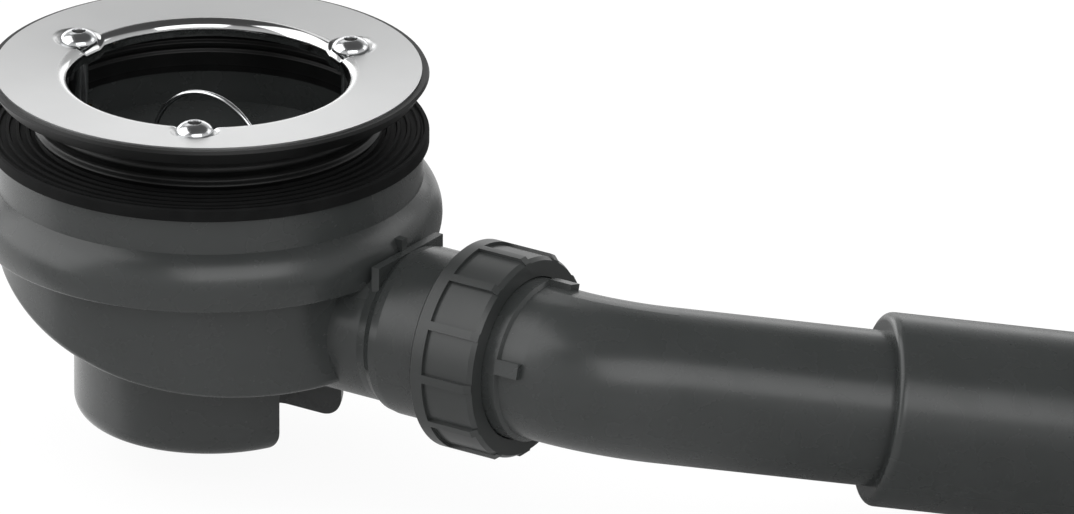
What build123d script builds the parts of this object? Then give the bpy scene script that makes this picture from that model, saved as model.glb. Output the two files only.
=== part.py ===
from build123d import *
import os
from math import cos, radians, sin, sqrt

os.makedirs("parts", exist_ok=True)

# The drain's own axis is Z, with the finished top of the flange at height 0.
# The outlet leaves along X; the last bend turns away from it. All sizes are in millimetres.

# Stainless flange ring
FLANGE_RADIUS = 55.0
FLANGE_SHEET = 0.8
FLANGE_DISH = 1.1
INLET_RADIUS = 36.0
LIP_ROLL = 1.8
LIP_DEPTH = 5.4

# Clamping screws, M5 button heads in pressed dimples
SCREW_COUNT = 3
SCREW_INLET_DISTANCE = 4.6
SCREW_CIRCLE = INLET_RADIUS + SCREW_INLET_DISTANCE
SCREW_FIRST_ANGLE = 60.0
SCREW_RADIUS = 2.5
SCREW_HOLE_GAP = 0.25
SCREW_SEAT_DEPTH = 2.0
SCREW_LENGTH = 30.0
HEAD_RADIUS = 4.75
HEAD_HEIGHT = 2.75
HEX_ACROSS_FLATS = 3.0
HEX_DEPTH = 1.7
DIMPLE_FLOOR_RADIUS = 5.4
DIMPLE_DRAFT = 0.9

# Rubber seals and the ribbed throat between them
SEAL_RADIUS = 56.9
SEAL_BEAD = 0.5
SEAL_LIP = 0.8
SEAL_UNDERSIDE_RADIUS = 54.5
UPPER_SEAL_BOTTOM = -4.7
THROAT_SCREW_GAP = 0.3
THROAT_RADIUS = SCREW_CIRCLE + SCREW_RADIUS + THROAT_SCREW_GAP
SLEEVE_WALL = 0.7
SLEEVE_RIB = 1.0
SLEEVE_RIB_WIDTH = 2.5
SLEEVE_RIB_PITCH = 4.15
SLEEVE_RIB_COUNT = 3
SLEEVE_LAST_RIB = -14.65
SLEEVE_SLOPE = 0.4
LOWER_SEAL_TOP = -16.3
LOWER_SEAL_THICKNESS = 3.4
SEAL_RIDGE_COUNT = 4
SEAL_RIDGE_MARGIN = 3.0
SEAL_LAST_RIDGE_GAP = 1.2
SEAL_RIDGE = 0.6
SEAL_RIDGE_SHARE = 0.54
SEAL_RIM_WIDTH = 1.5
FACE_GAP = 0.02
RUNNING_GAP = 0.1
SEAL_WEB_GAP = 0.2
SEAL_DIMPLE_GAP = 0.3
MOULDING_GAP = 0.05
SOFT_EDGE = 0.6

# Upper half of the trap: collar, bulge and inner funnel
WALL = 2.6
COLLAR_RADIUS = 55.4
COLLAR_LIP_HEIGHT = 1.6
COLLAR_LIP_WALL = 2.4
BULGE_CENTRE_RADIUS = 47.45
BULGE_CENTRE_HEIGHT = -39.35
BULGE_ARC = 12.85
BULGE_EDGE = 0.8
BODY_SPLIT = -43.8
MARK_REACH = 61.2
MARK_TOP = -33.3
MARK_WIDTH = 2.4
FUNNEL_TOP = -26.3
FUNNEL_FALL = 3.0
FUNNEL_STEP = 1.0
BOSS_RADIUS = 5.2
BOSS_FLOOR = 1.7
INSERT_RADIUS = 3.4
INSERT_LENGTH = 9.0

# Lower half of the trap: bowl, water cup, sump and outlet
BOWL_RADIUS = 54.7
BOWL_EDGE = 1.8
FLOOR_LOW = -70.2
FLOOR_LOW_X = 48.0
FLOOR_ARC = 192.0
CUP_RADIUS = 34.8
CUP_RIM = -38.0
SUMP_BOTTOM = -94.7
SUMP_FILLET = 5.5
SUMP_SLOT_HALF = 14.0
SUMP_SLOT_START = 10.0
SUMP_SLOT_HEIGHT = 60.0
SUMP_SLOT_FILLET = 5.0
OUTLET_HEIGHT = -57.3
OUTLET_RADIUS = 20.15
OUTLET_BORE = 17.6
OUTLET_END = 90.0
THREAD_RADIUS = 22.1
THREAD_START = 67.0
FLARE_LENGTH = 7.0
FLARE_EASE_SHARE = 0.35
FLARE_RISE_SHARE = 0.2
STOP_FRONT = 63.2
STOP_LENGTH = 2.3
STOP_WIDTH = 29.0
STOP_TOP = -36.3
CUT_MARGIN = 10.0
BELOW_ALL = SUMP_BOTTOM - CUT_MARGIN

# Removable dip tube with its lip seal and wire bow
DIP_RIM_RADIUS = 29.0
DIP_RIM_THICKNESS = 2.0
DIP_RADIUS = 23.5
DIP_WALL = 1.8
DIP_BOTTOM = -61.0
DIP_SEAT_GAP = 0.3
DIP_SEAT_RADIUS = 25.6
DIP_MOUTH_BEVEL = 1.5
LIP_SEAL_HEIGHT = 3.0
LIP_SEAL_WAVE = 0.6
BOW_RADIUS = 17.0
BOW_WIRE = 0.7
BOW_FOOT = 4.0
BOW_CENTRE_HEIGHT = -24.2
EAR_WIDTH = 6.0
EAR_HEIGHT = 4.0
EAR_INSET = 1.0

# Union nut, gasket, slip ring and outlet bend
NUT_START = 81.0
NUT_END = 99.4
NUT_RADIUS = 27.3
NUT_FACE_RADIUS = 26.0
NUT_RIM = 4.0
NUT_RIB_COUNT = 12
NUT_RIB_WIDTH = 2.3
NUT_RIB_ROOT = 3.0
NUT_RIB_TAPER = 1.6
NUT_PANEL_DEPTH = 0.9
NUT_BEVEL_LENGTH = 1.2
NUT_BEVEL_DROP = 0.8
NUT_FRONT_WALL = 3.4
NUT_RUNNING_GAP = 0.3
GASKET_THICKNESS = 2.5
GASKET_MARGIN = 0.3
SLIP_RING_THICKNESS = 0.8
BEND_FLANGE = 2.4
BEND_COLLAR_RADIUS = 21.1
BEND_COLLAR_END = 103.8
PIPE_RADIUS = 20.05
PIPE_WALL = 2.4
BEND_START = 110.6
BEND_RADIUS = 34.0
BEND_ANGLE = 45.0
BEND_TURN = -14.9
SMALL_PIPE_LENGTH = 56.0
LARGE_PIPE_RADIUS = 25.0
LARGE_PIPE_LENGTH = 62.0
SHOULDER_FILLET = 2.2
LUG_COUNT = 2
LUG_FIRST_ANGLE = -15.0
LUG_STEP = 90.0
LUG_LENGTH = 7.0
LUG_WIDTH = 4.0
LUG_HEIGHT = 1.6
LUG_ROOT = 1.5


def ring(points):
    """Turns a closed section, given as radius and height, about the drain's axis."""
    section = make_face(Polyline(*points, close=True))
    return revolve(Plane.XZ * section, Axis.Z)


def ring_about_outlet(points):
    """Turns a closed section, given as place along X and radius, about the outlet's axis."""
    section = make_face(Polyline(*points, close=True))
    turned = revolve(section, Axis.X)
    return Pos(0, 0, OUTLET_HEIGHT) * turned


def at_screws():
    """Places on the screw circle, at the flange's top."""
    return PolarLocations(SCREW_CIRCLE, SCREW_COUNT, SCREW_FIRST_ANGLE)


def upright_cylinder(radius, low, high):
    """A cylinder about Z between two heights."""
    return Pos(0, 0, (low + high) / 2) * Cylinder(radius, high - low)


def make_flange_ring():
    """Dished sheet ring with a rolled inner lip and three pressed dimples that open to the hole."""
    roll_radius = INLET_RADIUS + LIP_ROLL
    outer = Plane.XZ * make_face(
        Line((FLANGE_RADIUS, 0), (roll_radius, -FLANGE_DISH))
        + TangentArc(
            (roll_radius, -FLANGE_DISH),
            (INLET_RADIUS, -FLANGE_DISH - LIP_ROLL),
            tangent=(-1, 0),
        )
        + Polyline(
            (INLET_RADIUS, -FLANGE_DISH - LIP_ROLL),
            (INLET_RADIUS, -LIP_DEPTH),
            (INLET_RADIUS + FLANGE_SHEET, -LIP_DEPTH),
            (INLET_RADIUS + FLANGE_SHEET, -FLANGE_DISH - LIP_ROLL),
        )
        + TangentArc(
            (INLET_RADIUS + FLANGE_SHEET, -FLANGE_DISH - LIP_ROLL),
            (roll_radius, -FLANGE_DISH - FLANGE_SHEET),
            tangent=(0, 1),
        )
        + Polyline(
            (roll_radius, -FLANGE_DISH - FLANGE_SHEET),
            (FLANGE_RADIUS, -FLANGE_SHEET),
            (FLANGE_RADIUS, 0),
        )
    )
    sheet = revolve(outer, Axis.Z)
    press_height = SCREW_SEAT_DEPTH + 1
    spread = DIMPLE_DRAFT * press_height / SCREW_SEAT_DEPTH
    press = Pos(0, 0, -SCREW_SEAT_DEPTH + press_height / 2) * Cone(
        DIMPLE_FLOOR_RADIUS, DIMPLE_FLOOR_RADIUS + spread, press_height
    )
    cup_height = SCREW_SEAT_DEPTH + FLANGE_SHEET - FLANGE_DISH / 2
    cup = Pos(0, 0, -SCREW_SEAT_DEPTH - FLANGE_SHEET + cup_height / 2) * Cone(
        DIMPLE_FLOOR_RADIUS + FLANGE_SHEET,
        DIMPLE_FLOOR_RADIUS + FLANGE_SHEET + DIMPLE_DRAFT,
        cup_height,
    )
    inlet = upright_cylinder(INLET_RADIUS, -LIP_DEPTH, 1)
    hole = upright_cylinder(SCREW_RADIUS + SCREW_HOLE_GAP, -LIP_DEPTH, 1)
    for place in at_screws():
        sheet += place * cup
    sheet -= inlet
    for place in at_screws():
        sheet -= place * press
        sheet -= place * hole
    return sheet


def make_screw():
    """Button head with a hexagon socket on a plain shank, with its seat at height 0."""
    cap_radius = (HEAD_RADIUS**2 + HEAD_HEIGHT**2) / (2 * HEAD_HEIGHT)
    ball = Pos(0, 0, HEAD_HEIGHT - cap_radius) * Sphere(cap_radius)
    head = ball & upright_cylinder(HEAD_RADIUS, 0, HEAD_HEIGHT)
    socket = Pos(0, 0, HEAD_HEIGHT - HEX_DEPTH) * extrude(
        RegularPolygon(HEX_ACROSS_FLATS / 2, 6, major_radius=False), HEX_DEPTH
    )
    shank = upright_cylinder(SCREW_RADIUS, -SCREW_LENGTH, 0)
    return (head - socket) + shank


def make_flange_screws():
    """The three clamping screws, seated in the dimples."""
    screw = Pos(0, 0, -SCREW_SEAT_DEPTH) * make_screw()
    return Compound(children=[place * screw for place in at_screws()])


def make_upper_seal():
    """Rubber ring that fills the space under the flange, with a bead round the flange's edge."""
    slope = FLANGE_DISH / (FLANGE_RADIUS - INLET_RADIUS - LIP_ROLL)
    dimple_edge = SCREW_CIRCLE + DIMPLE_FLOOR_RADIUS + FLANGE_SHEET + DIMPLE_DRAFT + SEAL_DIMPLE_GAP
    web_top = -SCREW_SEAT_DEPTH - FLANGE_SHEET - SEAL_WEB_GAP
    under_at_dimple = -FLANGE_SHEET - slope * (FLANGE_RADIUS - dimple_edge) - FACE_GAP
    return ring(
        [
            (THROAT_RADIUS, UPPER_SEAL_BOTTOM),
            (SEAL_UNDERSIDE_RADIUS, UPPER_SEAL_BOTTOM),
            (SEAL_RADIUS, -SEAL_BEAD - SEAL_LIP),
            (SEAL_RADIUS - SEAL_LIP / 2, -SEAL_BEAD),
            (FLANGE_RADIUS + RUNNING_GAP, -SEAL_BEAD),
            (FLANGE_RADIUS + RUNNING_GAP, -FLANGE_SHEET - FACE_GAP),
            (dimple_edge, under_at_dimple),
            (dimple_edge, web_top),
            (THROAT_RADIUS, web_top),
        ]
    )


def rib_outline(base, rise):
    """Points up one side of the sleeve: flats at the base radius between sloped ribs."""
    points = [(base, LOWER_SEAL_TOP)]
    half = SLEEVE_RIB_WIDTH / 2
    for i in range(SLEEVE_RIB_COUNT):
        middle = SLEEVE_LAST_RIB + i * SLEEVE_RIB_PITCH
        points.append((base, middle - half))
        points.append((base + rise, middle - half + SLEEVE_SLOPE))
        points.append((base + rise, middle + half - SLEEVE_SLOPE))
        points.append((base, middle + half))
    points.append((base, UPPER_SEAL_BOTTOM))
    return points


def make_throat_sleeve():
    """Thin rubber bellows between the seals, with its ribs outside and matching grooves inside."""
    outside = rib_outline(THROAT_RADIUS + SLEEVE_WALL, SLEEVE_RIB)
    inside = rib_outline(THROAT_RADIUS, SLEEVE_RIB)
    return ring(outside + inside[::-1])


def make_lower_seal():
    """Thick rubber ring on the collar, with concentric sealing ridges and a raised rim on its top."""
    low = LOWER_SEAL_TOP - LOWER_SEAL_THICKNESS
    base = LOWER_SEAL_TOP - SEAL_RIDGE
    inner = THROAT_RADIUS
    locating = inner + COLLAR_LIP_WALL + MOULDING_GAP
    first = inner + SEAL_RIDGE_MARGIN
    last = SEAL_RADIUS - SEAL_RIM_WIDTH - SEAL_LAST_RIDGE_GAP
    pitch = (last - first) / (SEAL_RIDGE_COUNT - 1)
    half = pitch * SEAL_RIDGE_SHARE / 2
    points = [(inner, low + COLLAR_LIP_HEIGHT), (inner, LOWER_SEAL_TOP)]
    points.append((inner + SLEEVE_WALL + FACE_GAP, LOWER_SEAL_TOP))
    points.append((inner + SLEEVE_WALL + SEAL_RIDGE, base))
    for i in range(SEAL_RIDGE_COUNT):
        middle = first + i * pitch
        points.append((middle - half, base))
        points.append((middle - half / 2, LOWER_SEAL_TOP))
        points.append((middle + half / 2, LOWER_SEAL_TOP))
        points.append((middle + half, base))
    points.append((SEAL_RADIUS - SEAL_RIM_WIDTH, base))
    points.append((SEAL_RADIUS - SEAL_RIM_WIDTH + SEAL_RIDGE / 2, LOWER_SEAL_TOP))
    points.append((SEAL_RADIUS - SEAL_RIDGE / 2, LOWER_SEAL_TOP))
    points.append((SEAL_RADIUS, base))
    points.append((SEAL_RADIUS, low))
    points.append((locating, low))
    points.append((locating, low + COLLAR_LIP_HEIGHT))
    return ring(points)


def bulge_radius(height, inset):
    """Radius of the bulge's arc, set in by a wall, at a height."""
    rise = height - BULGE_CENTRE_HEIGHT
    return BULGE_CENTRE_RADIUS + sqrt((BULGE_ARC - inset) ** 2 - rise**2)


def collar_foot():
    """Height where the collar's straight wall meets the bulge's arc."""
    reach = COLLAR_RADIUS - BULGE_CENTRE_RADIUS
    return BULGE_CENTRE_HEIGHT + sqrt(BULGE_ARC**2 - reach**2)


def make_trap_body():
    """Upper moulding: collar with a locating lip, round bulge, inner funnel and screw bosses."""
    top = LOWER_SEAL_TOP - LOWER_SEAL_THICKNESS
    crease = collar_foot()
    lip_top = top + COLLAR_LIP_HEIGHT
    throat_outer = THROAT_RADIUS + COLLAR_LIP_WALL
    split_outer = bulge_radius(BODY_SPLIT, 0)
    split_inner = bulge_radius(BODY_SPLIT, WALL)
    widest = (BULGE_CENTRE_RADIUS + BULGE_ARC, BULGE_CENTRE_HEIGHT)
    inner_widest = (widest[0] - WALL, BULGE_CENTRE_HEIGHT)
    inner_reach = throat_outer + FUNNEL_STEP - BULGE_CENTRE_RADIUS
    inner_top = BULGE_CENTRE_HEIGHT + sqrt((BULGE_ARC - WALL) ** 2 - inner_reach**2)
    funnel_foot = FUNNEL_TOP - FUNNEL_FALL
    seat_bottom = funnel_foot - DIP_RIM_THICKNESS - LIP_SEAL_HEIGHT
    outline = (
        Polyline(
            (split_inner, BODY_SPLIT),
            (split_outer, BODY_SPLIT),
        )
        + ThreePointArc((split_outer, BODY_SPLIT), widest, (COLLAR_RADIUS, crease))
        + Polyline(
            (COLLAR_RADIUS, crease),
            (COLLAR_RADIUS, top),
            (throat_outer, top),
            (throat_outer, lip_top),
            (THROAT_RADIUS, lip_top),
            (THROAT_RADIUS, FUNNEL_TOP),
            (DIP_RIM_RADIUS + DIP_SEAT_GAP, funnel_foot),
            (DIP_RIM_RADIUS + DIP_SEAT_GAP, funnel_foot - DIP_RIM_THICKNESS),
            (DIP_SEAT_RADIUS, funnel_foot - DIP_RIM_THICKNESS),
            (DIP_SEAT_RADIUS, seat_bottom),
            (DIP_SEAT_RADIUS + WALL, seat_bottom),
            (DIP_RIM_RADIUS + DIP_SEAT_GAP + WALL, funnel_foot - WALL),
            (throat_outer + FUNNEL_STEP, FUNNEL_TOP - WALL),
            (throat_outer + FUNNEL_STEP, inner_top),
        )
        + ThreePointArc((throat_outer + FUNNEL_STEP, inner_top), inner_widest, (split_inner, BODY_SPLIT))
    )
    section = make_face(outline)
    rim = section.vertices().sort_by_distance((split_outer, BODY_SPLIT, 0))[0]
    section = fillet(rim, BULGE_EDGE)
    shell = revolve(Plane.XZ * section, Axis.Z)
    screw_end = -SCREW_SEAT_DEPTH - SCREW_LENGTH
    boss_bottom = screw_end - BOSS_FLOOR
    boss = upright_cylinder(BOSS_RADIUS, boss_bottom, top)
    socket = upright_cylinder(INSERT_RADIUS, top - INSERT_LENGTH, top)
    core = upright_cylinder(SCREW_RADIUS + SCREW_HOLE_GAP, screw_end - SCREW_HOLE_GAP, top)
    for place in at_screws():
        shell += place * boss
    for place in at_screws():
        shell -= place * socket
        shell -= place * core
    mark = Pos(MARK_REACH, 0, MARK_TOP) * Box(
        MARK_REACH - BULGE_CENTRE_RADIUS, MARK_WIDTH, MARK_TOP - STOP_TOP,
        align=(Align.MAX, Align.CENTER, Align.MAX),
    )
    inside_bulge = Pos(0, 0, BULGE_CENTRE_HEIGHT) * Torus(BULGE_CENTRE_RADIUS, BULGE_ARC - WALL / 2)
    shell += mark - inside_bulge - upright_cylinder(BULGE_CENTRE_RADIUS + WALL, BELOW_ALL, 0)
    passage = OUTLET_RADIUS + MOULDING_GAP
    return shell - ring_about_outlet(
        [(CUP_RADIUS, 0), (CUP_RADIUS, passage), (OUTLET_END, passage), (OUTLET_END, 0)]
    )


def make_screw_inserts():
    """Threaded bushes pressed into the bosses, at the screws' bore."""
    top = LOWER_SEAL_TOP - LOWER_SEAL_THICKNESS
    bush = upright_cylinder(INSERT_RADIUS, top - INSERT_LENGTH, top)
    bush -= upright_cylinder(SCREW_RADIUS, top - INSERT_LENGTH, top)
    return Compound(children=[place * bush for place in at_screws()])


def above_floor(lift):
    """All space above the bowl's curved floor, raised by a wall, as one block."""
    reach = BOWL_RADIUS + CUT_MARGIN
    high = 0.0
    centre = FLOOR_LOW + FLOOR_ARC
    arc = FLOOR_ARC - lift

    def floor(x):
        return centre - sqrt(arc**2 - (x - FLOOR_LOW_X) ** 2)

    section = make_face(
        Polyline((reach, floor(reach)), (reach, high), (-reach, high), (-reach, floor(-reach)))
        + ThreePointArc((-reach, floor(-reach)), (0, floor(0)), (reach, floor(reach)))
    )
    return extrude(Plane.XZ * section, reach, both=True)


def sump_block(inset):
    """Horseshoe sump set in by a wall: a round-bottomed plug with a slot towards the outlet."""
    radius = CUP_RADIUS - inset
    bottom = SUMP_BOTTOM + inset
    plug = upright_cylinder(radius, bottom, CUP_RIM)
    plug = fillet(plug.edges().group_by(Axis.Z)[0], SUMP_FILLET - inset)
    half = SUMP_SLOT_HALF + inset
    start = SUMP_SLOT_START - inset
    slot = Pos(start + CUP_RADIUS, 0, SUMP_BOTTOM) * Box(
        2 * CUP_RADIUS, 2 * half, SUMP_SLOT_HEIGHT, align=(Align.CENTER, Align.CENTER, Align.CENTER)
    )
    slot = fillet(slot.edges().filter_by(Axis.Z).group_by(Axis.X)[0], SUMP_SLOT_FILLET + inset)
    return plug, slot - above_floor(inset)


def outlet_outside():
    """Outlet pipe with the flare that carries the thread."""
    start = CUP_RADIUS - WALL
    flare_start = THREAD_START - FLARE_LENGTH
    rise = THREAD_RADIUS - OUTLET_RADIUS
    return ring_about_outlet(
        [
            (start, 0),
            (start, OUTLET_RADIUS),
            (flare_start, OUTLET_RADIUS),
            (flare_start + FLARE_EASE_SHARE * FLARE_LENGTH, OUTLET_RADIUS + FLARE_RISE_SHARE * rise),
            (THREAD_START - FLARE_EASE_SHARE * FLARE_LENGTH, THREAD_RADIUS - FLARE_RISE_SHARE * rise),
            (THREAD_START, THREAD_RADIUS),
            (OUTLET_END, THREAD_RADIUS),
            (OUTLET_END, 0),
        ]
    )


def make_trap_bowl():
    """Lower moulding: bowl with a sloping floor, water cup, horseshoe sump and outlet."""
    flange_radius = bulge_radius(BODY_SPLIT, WALL) - RUNNING_GAP
    bowl_outside = upright_cylinder(BOWL_RADIUS, BELOW_ALL, BODY_SPLIT + WALL) & above_floor(0)
    bowl_outside = fillet(bowl_outside.faces().sort_by(Axis.Z)[0].edges(), BOWL_EDGE)
    bowl_outside += upright_cylinder(flange_radius, BODY_SPLIT, BODY_SPLIT + WALL)
    plug, slot = sump_block(0)
    plug_inside, slot_inside = sump_block(WALL)
    outside = bowl_outside + (plug - slot)
    outlet = outlet_outside() - upright_cylinder(CUP_RADIUS - WALL, BELOW_ALL, 0)
    outside += outlet
    chamber = upright_cylinder(BOWL_RADIUS - WALL, BELOW_ALL, -1) & above_floor(WALL)
    chamber -= upright_cylinder(CUP_RADIUS, BELOW_ALL, 0)
    bore_start = CUP_RADIUS + SOFT_EDGE
    bore = ring_about_outlet(
        [(bore_start, 0), (bore_start, OUTLET_BORE), (OUTLET_END, OUTLET_BORE), (OUTLET_END, 0)]
    )
    solid = outside - chamber - bore
    solid -= plug_inside - slot_inside
    return solid + stop_bar()


def stop_bar():
    """Upright plate across the outlet's top, close in front of the bulge."""
    plate = Pos(STOP_FRONT, 0, STOP_TOP) * Box(
        STOP_LENGTH, STOP_WIDTH, STOP_TOP - OUTLET_HEIGHT, align=(Align.MAX, Align.CENTER, Align.MAX)
    )
    core = ring_about_outlet(
        [
            (STOP_FRONT - 2 * STOP_LENGTH, 0),
            (STOP_FRONT - 2 * STOP_LENGTH, OUTLET_RADIUS - WALL / 2),
            (STOP_FRONT + STOP_LENGTH, OUTLET_RADIUS - WALL / 2),
            (STOP_FRONT + STOP_LENGTH, 0),
        ]
    )
    return plate - core


def make_dip_tube():
    """Removable tube with a rim that rests in the funnel, a groove for its seal and two bow ears."""
    rim_top = FUNNEL_TOP - FUNNEL_FALL
    rim_bottom = rim_top - DIP_RIM_THICKNESS
    inner = DIP_RADIUS - DIP_WALL
    tube = ring(
        [
            (inner, DIP_BOTTOM),
            (DIP_RADIUS, DIP_BOTTOM),
            (DIP_RADIUS, rim_bottom),
            (DIP_RIM_RADIUS, rim_bottom),
            (DIP_RIM_RADIUS, rim_top),
            (inner + DIP_MOUTH_BEVEL, rim_top),
            (inner, rim_bottom),
        ]
    )
    ear_length = DIP_RIM_RADIUS - BOW_RADIUS - 3 * BOW_WIRE
    ear = Box(ear_length, EAR_WIDTH, EAR_HEIGHT, align=(Align.MAX, Align.CENTER, Align.MIN))
    pin_hole = Cylinder(BOW_WIRE + RUNNING_GAP, BOW_FOOT + EAR_INSET, rotation=(0, 90, 0))
    for angle in (0, 180):
        tube += Rot(0, 0, angle) * Pos(DIP_RIM_RADIUS - EAR_INSET, 0, rim_bottom) * ear
    for angle in (0, 180):
        tube -= Rot(0, 0, angle) * Pos(BOW_RADIUS + BOW_FOOT / 2, 0, bow_pivot_height()) * pin_hole
    return tube


def bow_pivot_height():
    """Height of the bow's feet, which are its pivots."""
    return FUNNEL_TOP - FUNNEL_FALL - DIP_RIM_THICKNESS + EAR_HEIGHT / 2


def make_dip_seal():
    """Rubber lip ring on the tube, just under its rim."""
    high = FUNNEL_TOP - FUNNEL_FALL - DIP_RIM_THICKNESS
    low = high - LIP_SEAL_HEIGHT
    step = LIP_SEAL_HEIGHT / 4
    crest = DIP_SEAT_RADIUS - MOULDING_GAP
    valley = DIP_SEAT_RADIUS - LIP_SEAL_WAVE
    return ring(
        [
            (DIP_RADIUS, low),
            (valley, low),
            (crest, low + step),
            (valley, low + 2 * step),
            (crest, low + 3 * step),
            (valley, high),
            (DIP_RADIUS, high),
        ]
    )


def make_pull_bow():
    """Wire bow: a half ring with straight legs and feet turned into the ears."""
    foot = bow_pivot_height()
    r = BOW_RADIUS
    path = (
        Line((r + BOW_FOOT, 0, foot), (r, 0, foot))
        + Line((r, 0, foot), (r, 0, BOW_CENTRE_HEIGHT))
        + ThreePointArc((r, 0, BOW_CENTRE_HEIGHT), (0, 0, BOW_CENTRE_HEIGHT + r), (-r, 0, BOW_CENTRE_HEIGHT))
        + Line((-r, 0, BOW_CENTRE_HEIGHT), (-r, 0, foot))
        + Line((-r, 0, foot), (-r - BOW_FOOT, 0, foot))
    )
    start = Plane(origin=(r + BOW_FOOT, 0, foot), z_dir=(-1, 0, 0))
    return sweep(start * Circle(BOW_WIRE), path=path, transition=Transition.RIGHT)


def make_union_nut():
    """Ribbed union nut with recessed panels, a plain rear rim and a tapered front edge."""
    bore = THREAD_RADIUS + NUT_RUNNING_GAP
    hole = BEND_COLLAR_RADIUS + NUT_RUNNING_GAP
    base = NUT_RADIUS - NUT_PANEL_DEPTH
    wall_start = NUT_END - NUT_FRONT_WALL
    nut = ring_about_outlet(
        [
            (NUT_START, bore),
            (NUT_START, NUT_RADIUS - SOFT_EDGE),
            (NUT_START + SOFT_EDGE, NUT_RADIUS),
            (NUT_START + NUT_RIM, NUT_RADIUS),
            (NUT_START + NUT_RIM, base),
            (NUT_END - NUT_BEVEL_LENGTH, base),
            (NUT_END, base - NUT_BEVEL_DROP),
            (NUT_END, hole),
            (wall_start, hole),
            (wall_start, bore),
        ]
    )
    rib_start = NUT_START + NUT_RIM - SOFT_EDGE
    rib_length = NUT_END - rib_start
    rib = Pos(rib_start + rib_length / 2, 0, 0) * Box(
        rib_length, NUT_RIB_WIDTH, NUT_RIB_ROOT, align=(Align.CENTER, Align.CENTER, Align.MAX)
    )
    limit = ring_about_outlet(
        [
            (rib_start, bore + SOFT_EDGE),
            (rib_start, NUT_RADIUS),
            (NUT_END - NUT_RIB_TAPER, NUT_RADIUS),
            (NUT_END, NUT_FACE_RADIUS),
            (NUT_END, bore + SOFT_EDGE),
        ]
    )
    for i in range(NUT_RIB_COUNT):
        turned = Rot(360 / NUT_RIB_COUNT * i, 0, 0) * (Pos(0, 0, NUT_RADIUS) * rib)
        nut += (Pos(0, 0, OUTLET_HEIGHT) * turned) & limit
    return nut


def make_union_gasket():
    """Flat rubber ring between the outlet's end and the bend's flange."""
    return ring_about_outlet(
        [
            (OUTLET_END, OUTLET_BORE + GASKET_MARGIN),
            (OUTLET_END, THREAD_RADIUS - GASKET_MARGIN),
            (OUTLET_END + GASKET_THICKNESS, THREAD_RADIUS - GASKET_MARGIN),
            (OUTLET_END + GASKET_THICKNESS, OUTLET_BORE + GASKET_MARGIN),
        ]
    )


def bend_flange_start():
    """Place along X where the bend's flange begins."""
    return OUTLET_END + GASKET_THICKNESS + RUNNING_GAP


def make_slip_ring():
    """Smooth plastic washer that lets the nut turn on the bend's flange."""
    start = bend_flange_start() + BEND_FLANGE + RUNNING_GAP
    return ring_about_outlet(
        [
            (start, BEND_COLLAR_RADIUS + NUT_RUNNING_GAP),
            (start, THREAD_RADIUS),
            (start + SLIP_RING_THICKNESS, THREAD_RADIUS),
            (start + SLIP_RING_THICKNESS, BEND_COLLAR_RADIUS + NUT_RUNNING_GAP),
        ]
    )


def bend_frame():
    """Direction of the sideways turn of the bend, across the outlet's axis."""
    return Vector(0, cos(radians(BEND_TURN)), sin(radians(BEND_TURN)))


def bend_path():
    """Centre line of the bend: its arc and the direction and place where it ends."""
    across = bend_frame()
    start = Vector(BEND_START, 0, OUTLET_HEIGHT)
    centre = start + across * BEND_RADIUS
    turn = radians(BEND_ANGLE)

    def point(angle):
        return centre + Vector(1, 0, 0) * (BEND_RADIUS * sin(angle)) - across * (BEND_RADIUS * cos(angle))

    direction = Vector(1, 0, 0) * cos(turn) + across * sin(turn)
    arc = ThreePointArc(start, point(turn / 2), point(turn))
    return arc, point(turn), direction


def bend_tube(outer):
    """Solid core of the bend at one of its two surfaces, outside or bore."""
    arc, end, direction = bend_path()
    inset = 0 if outer else PIPE_WALL
    entry = bend_flange_start()
    first = Plane(origin=(BEND_START, 0, OUTLET_HEIGHT), z_dir=(1, 0, 0))
    last = Plane(origin=end, z_dir=direction)
    radius = PIPE_RADIUS - inset
    core = sweep(first * Circle(radius), path=arc)
    before = Plane(origin=(entry, 0, OUTLET_HEIGHT), z_dir=(1, 0, 0))
    core += extrude(before * Circle(radius), BEND_START - entry)
    core += extrude(last * Circle(radius), SMALL_PIPE_LENGTH + FACE_GAP)
    shoulder = last.offset(SMALL_PIPE_LENGTH + inset)
    large = extrude(shoulder * Circle(LARGE_PIPE_RADIUS - inset), LARGE_PIPE_LENGTH - inset)
    if outer:
        seat = large.edges().filter_by(GeomType.CIRCLE).sort_by(lambda edge: (edge.center() - end).length)[0]
        large = fillet(seat, SHOULDER_FILLET)
    return core + large


def make_outlet_bend():
    """One moulding: flange, collar with two lugs, 45 degree bend and a wider outlet pipe."""
    outside = bend_tube(True)
    flange_start = bend_flange_start()
    outside += ring_about_outlet(
        [
            (flange_start, 0),
            (flange_start, THREAD_RADIUS - RUNNING_GAP),
            (flange_start + BEND_FLANGE, THREAD_RADIUS - RUNNING_GAP),
            (flange_start + BEND_FLANGE, BEND_COLLAR_RADIUS),
            (BEND_COLLAR_END - SOFT_EDGE, BEND_COLLAR_RADIUS),
            (BEND_COLLAR_END, PIPE_RADIUS),
            (BEND_COLLAR_END, 0),
        ]
    )
    lug = Pos(BEND_COLLAR_END - SOFT_EDGE, 0, PIPE_RADIUS + LUG_HEIGHT) * Box(
        LUG_LENGTH, LUG_WIDTH, LUG_HEIGHT + LUG_ROOT, align=(Align.MIN, Align.CENTER, Align.MAX)
    )
    for i in range(LUG_COUNT):
        outside += Pos(0, 0, OUTLET_HEIGHT) * (Rot(LUG_FIRST_ANGLE + LUG_STEP * i, 0, 0) * lug)
    return outside - bend_tube(False)


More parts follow.
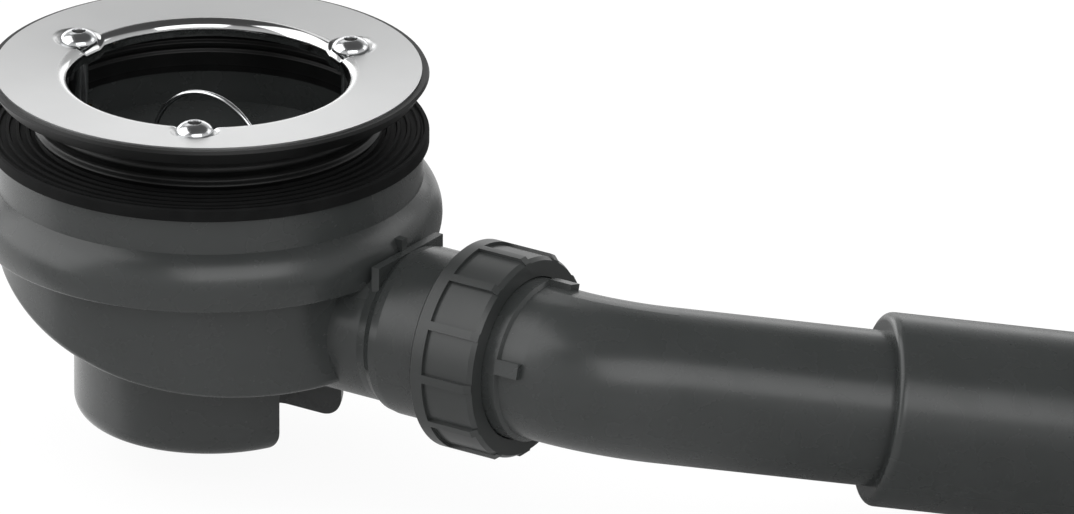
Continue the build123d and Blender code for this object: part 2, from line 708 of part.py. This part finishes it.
PIECES = {
    "flange_ring": make_flange_ring,
    "flange_screws": make_flange_screws,
    "upper_seal": make_upper_seal,
    "throat_sleeve": make_throat_sleeve,
    "lower_seal": make_lower_seal,
    "trap_body": make_trap_body,
    "screw_inserts": make_screw_inserts,
    "trap_bowl": make_trap_bowl,
    "dip_tube": make_dip_tube,
    "dip_seal": make_dip_seal,
    "pull_bow": make_pull_bow,
    "union_nut": make_union_nut,
    "union_gasket": make_union_gasket,
    "slip_ring": make_slip_ring,
    "outlet_bend": make_outlet_bend,
}

for name, make in PIECES.items():
    piece = make()
    export_step(piece, f"parts/{name}.step")
    print(name, round(piece.volume, 1), piece.is_valid)
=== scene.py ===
import math

import bmesh
import bpy
import numpy as np
from mathutils import Matrix, Vector


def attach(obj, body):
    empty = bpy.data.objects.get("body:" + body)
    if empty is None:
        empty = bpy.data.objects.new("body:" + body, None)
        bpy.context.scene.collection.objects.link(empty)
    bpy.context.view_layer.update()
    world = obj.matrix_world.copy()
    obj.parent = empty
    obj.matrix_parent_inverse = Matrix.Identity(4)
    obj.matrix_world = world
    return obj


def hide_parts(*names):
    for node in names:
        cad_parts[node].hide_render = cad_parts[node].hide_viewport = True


# The drain's axis is Z, the flange's top is at height 0 and the outlet leaves along X.
# Lengths are in metres, and colours and brightnesses in linear light, where 1 is white.

MM = 0.001
WHITE = (1.0, 1.0, 1.0, 1.0)

# Camera, at the photograph's viewing angle: angles in degrees, lens and sensor in millimetres
VIEW_AZIMUTH = 34.015
VIEW_ELEVATION = 22.186
VIEW_ROLL = 0.179
VIEW_DISTANCE = 6.0
VIEW_TARGET = Vector((0.07308, 0.04300, -0.050))
LENS = 781.3
SENSOR_WIDTH = 36.0
FAR_CLIP = 100.0

# Meshes
SHARP_ANGLE = math.radians(32.0)
WELD_DISTANCE = 0.0001 * MM

# Steel ring: dished face, rolled lip, pressed seats for three screws
RING_EDGE = 55.0 * MM
RING_SHEET = 0.8 * MM
RING_DISH = 1.1 * MM
HOLE_RADIUS = 36.0 * MM
LIP_ROLL = 2.8 * MM
LIP_DEPTH = 5.4 * MM
SCREW_CIRCLE = 40.6 * MM
SCREW_BEARINGS = np.radians([60.0, 180.0, 300.0])
SEAT_DROP = 0.9 * MM
SEAT_INNER = 5.2 * MM
SEAT_OUTER = 6.7 * MM
RING_FACE_POINTS = 44
RING_ROLL_POINTS = 15
RING_TURNS = 720

# Domed screws with a round socket; the fullness is a superellipse's exponent, and 2 is an ellipse
HEAD_RADIUS = 4.95 * MM
HEAD_SEAT = -1.75 * MM
HEAD_DOME = 3.15 * MM
HEAD_FULLNESS = 2.15
HEAD_FLAT = 1.9 * MM
SOCKET_RADIUS = 1.65 * MM
SOCKET_BEVEL = 0.12 * MM
SOCKET_DEPTH = 0.9 * MM
SHANK_RADIUS = 2.5 * MM
SHANK_END = -32.0 * MM
HEAD_DOME_POINTS = 34
HEAD_FLAT_POINTS = 22
SCREW_TURNS = 96

# Rubber bellows between the two seals
SLEEVE_RADIUS = 43.4 * MM
SLEEVE_WALL = 0.7 * MM
SLEEVE_TOP = -4.7 * MM
SLEEVE_BOTTOM = -16.3 * MM
SLEEVE_RIB = 1.0 * MM
SLEEVE_RIB_HEIGHTS = np.array([-14.8, -10.5, -6.35]) * MM
SLEEVE_RIB_HALVES = np.array([1.45, 2.4, 1.6]) * MM
SLEEVE_GROOVE = 0.5 * MM
SLEEVE_GROOVE_HEIGHTS = np.array([-11.9, -9.3, -6.7]) * MM
SLEEVE_GROOVE_HALF = 1.0 * MM
SLEEVE_POINTS = 96
SLEEVE_TURNS = 360

# Finishes: where along a noise a surface is dark and where it is light
CLOUD_STOPS = (0.3, 0.7)
BLOOM_STOPS = (0.35, 0.7)
# How far roughness wanders to either side
PLASTIC_WANDER = 0.05
RUBBER_WANDER = 0.06
# Radii between which the ring turns from its polished lip to its satin face
POLISH_END = 37.6 * MM
SATIN_START = 39.2 * MM
TURNED_RINGS_SCALE = 900.0
TURNED_RINGS_DISTORTION = 1.5

# Floor
FLOOR_HEIGHT = -0.1068
FLOOR_HALF = 6.0
FLOOR_WHITE = 0.92
# Share of plain white in what is seen of the floor; the rest shows the object's shadow
FLOOR_SHINE_SHARE = 0.93
# The floor in gloss is a glow painted on it that shows only in reflections: grey, with a painted bright
# card beyond two lines and painted dark beyond a third
FLOOR_GLOSS = 0.48
PAINTED_CARD_GLOSS = 1.2
DARK_GLOSS = 0.12
# Each line: the direction square to it, and where along that the change starts and ends
PAINTED_CARD_BACK_LINE = ((-0.511, 0.859, 0.0), -56 * MM, -30 * MM)
PAINTED_CARD_LEFT_LINE = ((-1.0, 0.0, 0.0), 8 * MM, 36 * MM)
DARK_LINE = ((0.5, 0.866, 0.0), 60 * MM, 110 * MM)

# Room
ROOM_LIGHT = 0.8
BACKDROP_WHITE = 1.0
# The room in gloss: its grey at heights from straight down at 0 to straight up at 1
ROOM_GLOSS = [
    (0.00, 0.45),
    (0.49, 0.45),
    (0.56, 0.60),
    (0.66, 0.55),
    (0.76, 0.48),
    (0.83, 0.09),
    (1.00, 0.07),
]

# Lamps: each softbox's degrees to the camera's right, degrees up, width, height and brightness
STUDIO_CENTRE = Vector((0.05, 0.03, -0.04))
LAMP_DISTANCE = 1.3
SOFTBOXES = {
    "front_box": (13, 34, 1.30, 0.72, 2.1),
    "left_wall": (-94, 30, 1.50, 1.60, 1.75),
    "back_left_box": (-144, 8, 0.55, 0.45, 2.0),
    "back_left_high_box": (-163, 42, 0.55, 0.30, 0.9),
    "right_box": (112, 26, 0.70, 0.50, 1.0),
    "backdrop_box": (180, 14, 1.60, 0.40, 0.9),
}
# The overhead fill gives light but doesn't show in gloss
OVERHEAD_FILL = (0, 88, 1.6, 1.6, 1.8)


def toward(azimuth, elevation):
    """Unit direction from the object: azimuth 0 is towards -Y and 90 towards +X, in degrees."""
    turn = math.radians(azimuth)
    rise = math.radians(elevation)
    return Vector((math.sin(turn) * math.cos(rise), -math.cos(turn) * math.cos(rise), math.sin(rise)))


def screw_axis(bearing):
    """The x and y of a screw's axis, at a bearing on the screws' circle."""
    return SCREW_CIRCLE * math.cos(bearing), SCREW_CIRCLE * math.sin(bearing)


# Shader helpers


def new_material(name):
    """A material with its node tree, its surface shader and the object's own coordinates."""
    material = bpy.data.materials.new(name)
    material.use_nodes = True
    tree = material.node_tree
    shader = tree.nodes["Principled BSDF"]
    place = tree.nodes.new("ShaderNodeTexCoord")
    return material, tree, shader, place.outputs["Object"]


def noise(tree, place, grain, detail=2.0):
    """Noise whose features are about one grain across, in metres."""
    mapping = tree.nodes.new("ShaderNodeMapping")
    mapping.inputs["Scale"].default_value = (1 / grain,) * 3
    tree.links.new(place, mapping.inputs["Vector"])
    texture = tree.nodes.new("ShaderNodeTexNoise")
    texture.inputs["Scale"].default_value = 1.0
    texture.inputs["Detail"].default_value = detail
    tree.links.new(mapping.outputs["Vector"], texture.inputs["Vector"])
    return texture.outputs["Fac"]


def ramp(tree, value, stops):
    """Colours laid along a value: stops are pairs of place and colour."""
    node = tree.nodes.new("ShaderNodeValToRGB")
    elements = node.color_ramp.elements
    while len(elements) < len(stops):
        elements.new(0.5)
    for element, (position, colour) in zip(elements, stops):
        element.position = position
        element.color = (*colour, 1.0)
    tree.links.new(value, node.inputs["Fac"])
    return node.outputs["Color"]


def spread(tree, value, low, high):
    """A value from 0 to 1 carried to a range."""
    node = tree.nodes.new("ShaderNodeMapRange")
    node.inputs["To Min"].default_value = low
    node.inputs["To Max"].default_value = high
    tree.links.new(value, node.inputs["Value"])
    return node.outputs["Result"]


def band(tree, value, start, end):
    """Runs from 0 at a start to 1 at an end, smoothly."""
    node = tree.nodes.new("ShaderNodeMapRange")
    node.interpolation_type = "SMOOTHSTEP"
    node.inputs["From Min"].default_value = start
    node.inputs["From Max"].default_value = end
    tree.links.new(value, node.inputs["Value"])
    return node.outputs["Result"]


def combine(tree, operation, first, second):
    """Two values taken together by an operation of the math node."""
    node = tree.nodes.new("ShaderNodeMath")
    node.operation = operation
    tree.links.new(first, node.inputs[0])
    tree.links.new(second, node.inputs[1])
    return node.outputs["Value"]


def tint(tree, shader, value, dark, light, stops=CLOUD_STOPS):
    """Colours a surface from dark to light along a noise."""
    colour = ramp(tree, value, list(zip(stops, (dark, light))))
    tree.links.new(colour, shader.inputs["Base Color"])


def roughen(tree, shader, value, smooth, rough):
    """Sets a surface's roughness along a value from 0 to 1."""
    tree.links.new(spread(tree, value, smooth, rough), shader.inputs["Roughness"])


def relief(tree, shader, value, depth, strength):
    """Raises the surface by a value, up to a depth in metres."""
    node = tree.nodes.new("ShaderNodeBump")
    node.inputs["Distance"].default_value = depth
    node.inputs["Strength"].default_value = strength
    tree.links.new(value, node.inputs["Height"])
    tree.links.new(node.outputs["Normal"], shader.inputs["Normal"])


def radius_about_axis(tree, place):
    """Distance of a point from the drain's axis, in metres."""
    flat = tree.nodes.new("ShaderNodeVectorMath")
    flat.operation = "MULTIPLY"
    flat.inputs[1].default_value = (1.0, 1.0, 0.0)
    tree.links.new(place, flat.inputs[0])
    length = tree.nodes.new("ShaderNodeVectorMath")
    length.operation = "LENGTH"
    tree.links.new(flat.outputs["Vector"], length.inputs[0])
    return length.outputs["Value"]


def seeing_rays(tree):
    """Marks the camera's own rays, and all rays that see: the camera's, glossy and clear ones."""
    path = tree.nodes.new("ShaderNodeLightPath")
    camera = path.outputs["Is Camera Ray"]
    shown = combine(tree, "MAXIMUM", camera, path.outputs["Is Glossy Ray"])
    return camera, combine(tree, "MAXIMUM", shown, path.outputs["Is Transmission Ray"])


def mix_to_surface(tree, output, share, lit, shown):
    """Sends two shaders to the output's surface: the lit one at share 0, the shown one at share 1."""
    mix = tree.nodes.new("ShaderNodeMixShader")
    tree.links.new(share, mix.inputs["Fac"])
    tree.links.new(lit, mix.inputs[1])
    tree.links.new(shown, mix.inputs[2])
    tree.links.new(mix.outputs["Shader"], tree.nodes[output].inputs["Surface"])


# Finishes


def moulded_plastic(name, dark, light, roughness):
    """Matt moulded plastic: faint clouding of its grey, fine spark-eroded grain."""
    material, tree, shader, place = new_material(name)
    tint(tree, shader, noise(tree, place, grain=18 * MM), dark, light)
    patches = noise(tree, place, grain=7 * MM, detail=3.0)
    roughen(tree, shader, patches, roughness - PLASTIC_WANDER, roughness + PLASTIC_WANDER)
    relief(tree, shader, noise(tree, place, grain=0.35 * MM), depth=0.02 * MM, strength=0.05)
    return material


def black_rubber(name, dark, light, roughness, specular):
    """Soft rubber: nearly black, with a dull uneven bloom and a fine skin."""
    material, tree, shader, place = new_material(name)
    bloom = noise(tree, place, grain=9 * MM, detail=3.0)
    tint(tree, shader, bloom, dark, light, BLOOM_STOPS)
    roughen(tree, shader, bloom, roughness - RUBBER_WANDER, roughness + RUBBER_WANDER)
    shader.inputs["Specular IOR Level"].default_value = specular
    relief(tree, shader, noise(tree, place, grain=0.5 * MM), depth=0.02 * MM, strength=0.3)
    return material


def satin_steel():
    """Stainless sheet: satin with faint turned rings on its face, polished round the rolled lip."""
    material, tree, shader, place = new_material("satin_steel")
    shader.inputs["Metallic"].default_value = 1.0
    cloud = noise(tree, place, grain=22 * MM)
    tint(tree, shader, cloud, dark=(0.665, 0.67, 0.67), light=(0.695, 0.70, 0.70))
    face = band(tree, radius_about_axis(tree, place), POLISH_END, SATIN_START)
    roughen(tree, shader, face, smooth=0.10, rough=0.34)
    rings = tree.nodes.new("ShaderNodeTexWave")
    rings.wave_type = "RINGS"
    rings.rings_direction = "Z"
    rings.inputs["Scale"].default_value = TURNED_RINGS_SCALE
    rings.inputs["Distortion"].default_value = TURNED_RINGS_DISTORTION
    tree.links.new(place, rings.inputs["Vector"])
    relief(tree, shader, rings.outputs["Fac"], depth=0.004 * MM, strength=0.15)
    return material


def marked_finish(name, metallic, grain, dark, light, smooth, rough):
    """A smooth finish with faint marks, along which both its colour and its roughness wander."""
    material, tree, shader, place = new_material(name)
    shader.inputs["Metallic"].default_value = metallic
    marks = noise(tree, place, grain)
    tint(tree, shader, marks, dark, light)
    roughen(tree, shader, marks, smooth, rough)
    return material


def dress(node, material):
    """Gives a carried-over node its finish."""
    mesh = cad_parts[node].data
    mesh.materials.clear()
    mesh.materials.append(material)


def shade_socket(screw, bearing):
    """Gives the faces within the socket's radius of a screw's axis the second material, the steel darkened
    as painted shade.
    """
    axis = Vector(screw_axis(bearing))
    for face in screw.data.polygons:
        away = (face.center.xy - axis).length
        if away < SOCKET_RADIUS + SOCKET_BEVEL / 2 and face.center.z > HEAD_SEAT:
            face.material_index = 1


# Surfaces


def weld(mesh):
    """Merges points that lie on one another, such as those where a skin meets its own axis."""
    welded = bmesh.new()
    welded.from_mesh(mesh)
    bmesh.ops.remove_doubles(welded, verts=welded.verts, dist=WELD_DISTANCE)
    welded.to_mesh(mesh)
    welded.free()


def turned(radius, height, turns):
    """A profile turned about Z: x, y and z of each point, turns by profile."""
    angle = np.linspace(0.0, 2 * math.pi, turns, endpoint=False)[:, None]
    x = radius * np.cos(angle)
    y = radius * np.sin(angle)
    z = np.broadcast_to(height, x.shape).copy()
    return x, y, z


def closed_skin(name, points, closed_across=True):
    """Joins a grid of points, turns by profile, into a piece closed round its turn.

    The profile closes on itself too, or else its two ends lie on the axis.
    """
    turns, along = points.shape[:2]
    here = np.arange(turns * along).reshape(turns, along)
    there = np.roll(here, -1, axis=0)
    if closed_across:
        corners = (here, there, np.roll(there, -1, axis=1), np.roll(here, -1, axis=1))
    else:
        corners = (here[:, :-1], there[:, :-1], there[:, 1:], here[:, 1:])
    faces = np.stack([corner.reshape(-1) for corner in corners], axis=1)
    mesh = bpy.data.meshes.new(name)
    mesh.from_pydata(points.reshape(-1, 3).tolist(), [], faces.tolist())
    weld(mesh)
    mesh.validate()
    mesh.shade_smooth()
    mesh.set_sharp_from_angle(angle=SHARP_ANGLE)
    piece = bpy.data.objects.new(name, mesh)
    bpy.context.scene.collection.objects.link(piece)
    return piece


def ease(value, start, end):
    """Smooth step of an array: 0 at the start, 1 at the end, level at both."""
    t = np.clip((value - start) / (end - start), 0.0, 1.0)
    return t * t * (3.0 - 2.0 * t)


def swells(height, middles, halves):
    """Sum of raised cosines over a height: each is 1 high at its middle and 0 from its half width on."""
    away = np.abs(height[:, None] - middles[None, :]) / halves
    return 0.5 * (1.0 + np.cos(math.pi * np.clip(away, 0.0, 1.0))).sum(axis=1)


def ring_profile():
    """Closed outline of the ring's sheet, as radii and heights.

    It runs in over the dished face, a straight line from the edge down to the roll, round the quarter
    circle of the rolled lip, down the straight wall and back one sheet's thickness below.
    """
    roll_start = HOLE_RADIUS + LIP_ROLL
    face = np.linspace(RING_EDGE, roll_start, RING_FACE_POINTS)[:-1]
    face_height = -RING_DISH * (RING_EDGE - face) / (RING_EDGE - roll_start)
    arc = np.linspace(0.0, math.pi / 2, RING_ROLL_POINTS)
    roll = roll_start - LIP_ROLL * np.sin(arc)
    roll_height = -RING_DISH - LIP_ROLL * (1.0 - np.cos(arc))
    under_roll = roll + RING_SHEET * np.sin(arc)
    under_roll_height = roll_height - RING_SHEET * np.cos(arc)
    foot = [HOLE_RADIUS, HOLE_RADIUS + RING_SHEET]
    foot_height = [-LIP_DEPTH, -LIP_DEPTH]
    under_face_height = face_height - RING_SHEET
    radii = [face, roll, foot, under_roll[::-1], face[::-1]]
    heights = [face_height, roll_height, foot_height, under_roll_height[::-1], under_face_height[::-1]]
    return np.concatenate(radii), np.concatenate(heights)


def make_steel_ring():
    """The ring's sheet turned about Z, with a seat pressed in at each screw.

    A seat is a smooth step down, of the distance from the screw's axis.
    """
    x, y, z = turned(*ring_profile(), RING_TURNS)
    for bearing in SCREW_BEARINGS:
        middle_x, middle_y = screw_axis(bearing)
        away = np.hypot(x - middle_x, y - middle_y)
        z -= SEAT_DROP * (1.0 - ease(away, SEAT_INNER, SEAT_OUTER))
    return closed_skin("steel_ring", np.stack([x, y, z], axis=2))


def screw_profile():
    """Half outline of a screw from its head's middle to its shank's, as radii and heights.

    The head is a superellipse, a little fuller than an ellipse, laid out by its angle and cut off flat near
    its top. The shank is a plain cylinder.
    """
    power = 2 / HEAD_FULLNESS
    swing = np.linspace(0.0, math.pi / 2, HEAD_DOME_POINTS)
    dome = HEAD_RADIUS * np.sin(swing) ** power
    dome_height = HEAD_DOME * np.cos(swing) ** power
    side = dome > HEAD_FLAT
    flat = np.linspace(0.0, HEAD_FLAT, HEAD_FLAT_POINTS)
    top = HEAD_DOME * (1.0 - (HEAD_FLAT / HEAD_RADIUS) ** HEAD_FULLNESS) ** (1 / HEAD_FULLNESS)
    foot = SHANK_END - HEAD_SEAT
    radius = np.concatenate([flat, dome[side], [SHANK_RADIUS, SHANK_RADIUS, 0.0]])
    height = np.concatenate([np.full(HEAD_FLAT_POINTS, top), dome_height[side], [0.0, foot, foot]])
    return radius, height + HEAD_SEAT


def make_screw(name, bearing):
    """A screw turned about its own axis.

    Within the socket's radius the head drops to the socket's floor, by a smooth step of the distance from
    the screw's axis.
    """
    radius, height = screw_profile()
    x, y, z = turned(radius, height, SCREW_TURNS)
    sunk = 1.0 - ease(radius, SOCKET_RADIUS, SOCKET_RADIUS + SOCKET_BEVEL)
    z -= np.where(z > HEAD_SEAT, sunk * SOCKET_DEPTH, 0.0)
    middle_x, middle_y = screw_axis(bearing)
    points = np.stack([x + middle_x, y + middle_y, z], axis=2)
    return closed_skin(name, points[:, ::-1], closed_across=False)


def make_sleeve():
    """Bellows turned about Z, with raised-cosine ribs on its outside and finer grooves on its inside."""
    height = np.linspace(SLEEVE_TOP, SLEEVE_BOTTOM, SLEEVE_POINTS)
    ribs = SLEEVE_RIB * swells(height, SLEEVE_RIB_HEIGHTS, SLEEVE_RIB_HALVES)
    grooves = SLEEVE_GROOVE * swells(height, SLEEVE_GROOVE_HEIGHTS, SLEEVE_GROOVE_HALF)
    outer = SLEEVE_RADIUS + SLEEVE_WALL + ribs
    inner = SLEEVE_RADIUS + grooves
    radii = np.concatenate([outer, inner[::-1]])
    heights = np.concatenate([height, height[::-1]])
    x, y, z = turned(radii, heights, SLEEVE_TURNS)
    return closed_skin("bellows", np.stack([x, y, z], axis=2)[:, ::-1])


# Studio


def add_camera():
    """Looks at the target from the photograph's side, turned a little about its own line of sight."""
    back = toward(VIEW_AZIMUTH, VIEW_ELEVATION)
    right = toward(VIEW_AZIMUTH + 90.0, 0.0)
    up = back.cross(right)
    roll = math.radians(VIEW_ROLL)
    turned_right = right * math.cos(roll) + up * math.sin(roll)
    turned_up = up * math.cos(roll) - right * math.sin(roll)
    data = bpy.data.cameras.new("camera")
    data.sensor_width = SENSOR_WIDTH
    data.lens = LENS
    data.clip_end = FAR_CLIP
    camera = bpy.data.objects.new("camera", data)
    bpy.context.scene.collection.objects.link(camera)
    turn = Matrix((turned_right, turned_up, back)).transposed()
    camera.matrix_world = Matrix.Translation(VIEW_TARGET + back * VIEW_DISTANCE) @ turn.to_4x4()
    bpy.context.scene.camera = camera


def add_softbox(name, turn, elevation, width, height, brightness):
    """A soft rectangular lamp that faces the object; brightness is its radiance."""
    data = bpy.data.lights.new(name, "AREA")
    data.shape = "RECTANGLE"
    data.size = width
    data.size_y = height
    data.energy = brightness * math.pi * width * height
    lamp = bpy.data.objects.new(name, data)
    bpy.context.scene.collection.objects.link(lamp)
    away = toward(VIEW_AZIMUTH + turn, elevation)
    lamp.location = STUDIO_CENTRE + away * LAMP_DISTANCE
    lamp.rotation_euler = away.to_track_quat("Z", "Y").to_euler()
    lamp.visible_camera = False
    return lamp


def room_gloss(tree):
    """Grey of the room in gloss, laid along a ray's height."""
    view = tree.nodes.new("ShaderNodeTexCoord")
    split = tree.nodes.new("ShaderNodeSeparateXYZ")
    tree.links.new(view.outputs["Generated"], split.inputs["Vector"])
    height = tree.nodes.new("ShaderNodeMapRange")
    height.inputs["From Min"].default_value = -1.0
    tree.links.new(split.outputs["Z"], height.inputs["Value"])
    stops = [(place, (grey,) * 3) for place, grey in ROOM_GLOSS]
    return ramp(tree, height.outputs["Result"], stops)


def add_room():
    """A room that is white to the camera, graded in gloss and plain grey as a light."""
    world = bpy.data.worlds.new("room")
    bpy.context.scene.world = world
    world.use_nodes = True
    tree = world.node_tree
    camera, seen = seeing_rays(tree)
    lit = tree.nodes["Background"]
    lit.inputs["Color"].default_value = WHITE
    lit.inputs["Strength"].default_value = ROOM_LIGHT
    pick = tree.nodes.new("ShaderNodeMix")
    pick.data_type = "RGBA"
    pick.inputs["B"].default_value = WHITE
    tree.links.new(camera, pick.inputs["Factor"])
    tree.links.new(room_gloss(tree), pick.inputs["A"])
    shown = tree.nodes.new("ShaderNodeBackground")
    shown.inputs["Strength"].default_value = BACKDROP_WHITE
    tree.links.new(pick.outputs["Result"], shown.inputs["Color"])
    mix_to_surface(tree, "World Output", seen, lit.outputs["Background"], shown.outputs["Background"])


def across_line(tree, place, direction, start, end):
    """Runs smoothly from 0 to 1 across a line on the floor, square to a direction."""
    along = tree.nodes.new("ShaderNodeVectorMath")
    along.operation = "DOT_PRODUCT"
    along.inputs[1].default_value = direction
    tree.links.new(place, along.inputs[0])
    return band(tree, along.outputs["Value"], start, end)


def floor_gloss(tree):
    """Brightness of the floor in gloss, a glow painted on it that shows only in reflections: grey, a
    painted bright card to the left of the sump, painted dark behind the outlet.
    """
    place = tree.nodes.new("ShaderNodeTexCoord").outputs["Object"]
    back = across_line(tree, place, *PAINTED_CARD_BACK_LINE)
    left = across_line(tree, place, *PAINTED_CARD_LEFT_LINE)
    card = combine(tree, "MULTIPLY", back, left)
    bright = spread(tree, card, FLOOR_GLOSS, PAINTED_CARD_GLOSS)
    behind = across_line(tree, place, *DARK_LINE)
    loss = spread(tree, behind, 0.0, FLOOR_GLOSS - DARK_GLOSS)
    return combine(tree, "SUBTRACT", bright, loss)


def white_floor():
    """White to the camera but for a faint shadow, graded in gloss and matt white as a light."""
    material = bpy.data.materials.new("white_floor")
    material.use_nodes = True
    tree = material.node_tree
    tree.nodes.remove(tree.nodes["Principled BSDF"])
    camera, seen = seeing_rays(tree)
    matt = tree.nodes.new("ShaderNodeBsdfDiffuse")
    matt.inputs["Color"].default_value = (FLOOR_WHITE,) * 3 + (1.0,)
    brightness = tree.nodes.new("ShaderNodeMapRange")
    tree.links.new(camera, brightness.inputs["Value"])
    tree.links.new(floor_gloss(tree), brightness.inputs["To Min"])
    brightness.inputs["To Max"].default_value = BACKDROP_WHITE
    shown = tree.nodes.new("ShaderNodeEmission")
    tree.links.new(brightness.outputs["Result"], shown.inputs["Strength"])
    share = spread(tree, seen, 0.0, FLOOR_SHINE_SHARE)
    mix_to_surface(tree, "Material Output", share, matt.outputs["BSDF"], shown.outputs["Emission"])
    return material


def add_floor():
    """Plain floor just under the object."""
    corners = [(-1, -1), (1, -1), (1, 1), (-1, 1)]
    points = [(x * FLOOR_HALF, y * FLOOR_HALF, FLOOR_HEIGHT) for x, y in corners]
    mesh = bpy.data.meshes.new("floor")
    mesh.from_pydata(points, [], [(0, 1, 2, 3)])
    mesh.materials.append(white_floor())
    floor = bpy.data.objects.new("floor", mesh)
    bpy.context.scene.collection.objects.link(floor)


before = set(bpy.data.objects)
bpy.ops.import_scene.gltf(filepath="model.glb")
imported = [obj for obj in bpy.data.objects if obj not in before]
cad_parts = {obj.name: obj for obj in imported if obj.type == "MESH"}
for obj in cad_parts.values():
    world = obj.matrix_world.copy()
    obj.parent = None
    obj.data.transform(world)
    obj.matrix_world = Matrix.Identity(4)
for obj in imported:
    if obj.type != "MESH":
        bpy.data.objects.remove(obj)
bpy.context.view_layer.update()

add_camera()
add_room()
add_floor()
for lamp_name, lamp_form in SOFTBOXES.items():
    add_softbox(lamp_name, *lamp_form)
overhead = add_softbox("overhead_fill", *OVERHEAD_FILL)
overhead.visible_glossy = False

body_plastic = moulded_plastic(
    "anthracite_plastic",
    dark=(0.0215, 0.0235, 0.0230),
    light=(0.0245, 0.0265, 0.0262),
    roughness=0.27,
)
nut_plastic = moulded_plastic(
    "nut_plastic",
    dark=(0.0195, 0.0212, 0.0208),
    light=(0.0225, 0.0242, 0.0238),
    roughness=0.32,
)
# The dip tube's dark grey, painted lighter than the body's as a painted highlight on the tube's inside
tube_painted_highlight_plastic = moulded_plastic(
    "dip_tube_painted_highlight_plastic",
    dark=(0.031, 0.0325, 0.0325),
    light=(0.036, 0.0375, 0.0375),
    roughness=0.34,
)
seal_rubber = black_rubber(
    "seal_rubber",
    dark=(0.0040, 0.0041, 0.0042),
    light=(0.0060, 0.0062, 0.0062),
    roughness=0.60,
    specular=0.06,
)
rim_rubber = black_rubber(
    "rim_rubber",
    dark=(0.0026, 0.0028, 0.0028),
    light=(0.0042, 0.0044, 0.0044),
    roughness=0.42,
    specular=0.26,
)
sleeve_rubber = black_rubber(
    "sleeve_rubber",
    dark=(0.0024, 0.0026, 0.0026),
    light=(0.0036, 0.0038, 0.0038),
    roughness=0.40,
    specular=0.30,
)
chrome = marked_finish(
    "chromed_steel",
    metallic=1.0,
    grain=3 * MM,
    dark=(0.72, 0.73, 0.74),
    light=(0.80, 0.81, 0.82),
    smooth=0.14,
    rough=0.22,
)
# The same steel down in a socket, painted dark as painted shade where little light reaches it
socket_painted_shade = marked_finish(
    "painted_shade_steel",
    metallic=1.0,
    grain=1 * MM,
    dark=(0.11, 0.11, 0.11),
    light=(0.16, 0.16, 0.16),
    smooth=0.40,
    rough=0.50,
)
brass = marked_finish(
    "turned_brass",
    metallic=1.0,
    grain=2 * MM,
    dark=(0.50, 0.34, 0.12),
    light=(0.62, 0.44, 0.18),
    smooth=0.22,
    rough=0.32,
)
white_plastic = marked_finish(
    "white_washer",
    metallic=0.0,
    grain=6 * MM,
    dark=(0.68, 0.68, 0.66),
    light=(0.74, 0.74, 0.72),
    smooth=0.32,
    rough=0.42,
)

steel_ring = make_steel_ring()
steel_ring.data.materials.append(satin_steel())
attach(steel_ring, "trap")
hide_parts("flange_ring")
for number, bearing in enumerate(SCREW_BEARINGS, start=1):
    screw = make_screw(f"dome_screw_{number}", bearing)
    screw.data.materials.append(chrome)
    screw.data.materials.append(socket_painted_shade)
    shade_socket(screw, bearing)
    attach(screw, "trap")
    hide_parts("flange_screws")
sleeve = make_sleeve()
sleeve.data.materials.append(sleeve_rubber)
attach(sleeve, "trap")
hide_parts("throat_sleeve")

for node in ("trap_body", "trap_bowl", "outlet_bend"):
    dress(node, body_plastic)
for node in ("lower_seal", "dip_seal", "union_gasket"):
    dress(node, seal_rubber)
dress("upper_seal", rim_rubber)
dress("union_nut", nut_plastic)
dress("dip_tube", tube_painted_highlight_plastic)
dress("pull_bow", chrome)
dress("screw_inserts", brass)
dress("slip_ring", white_plastic)

bpy.context.scene.view_settings.view_transform = "Standard"
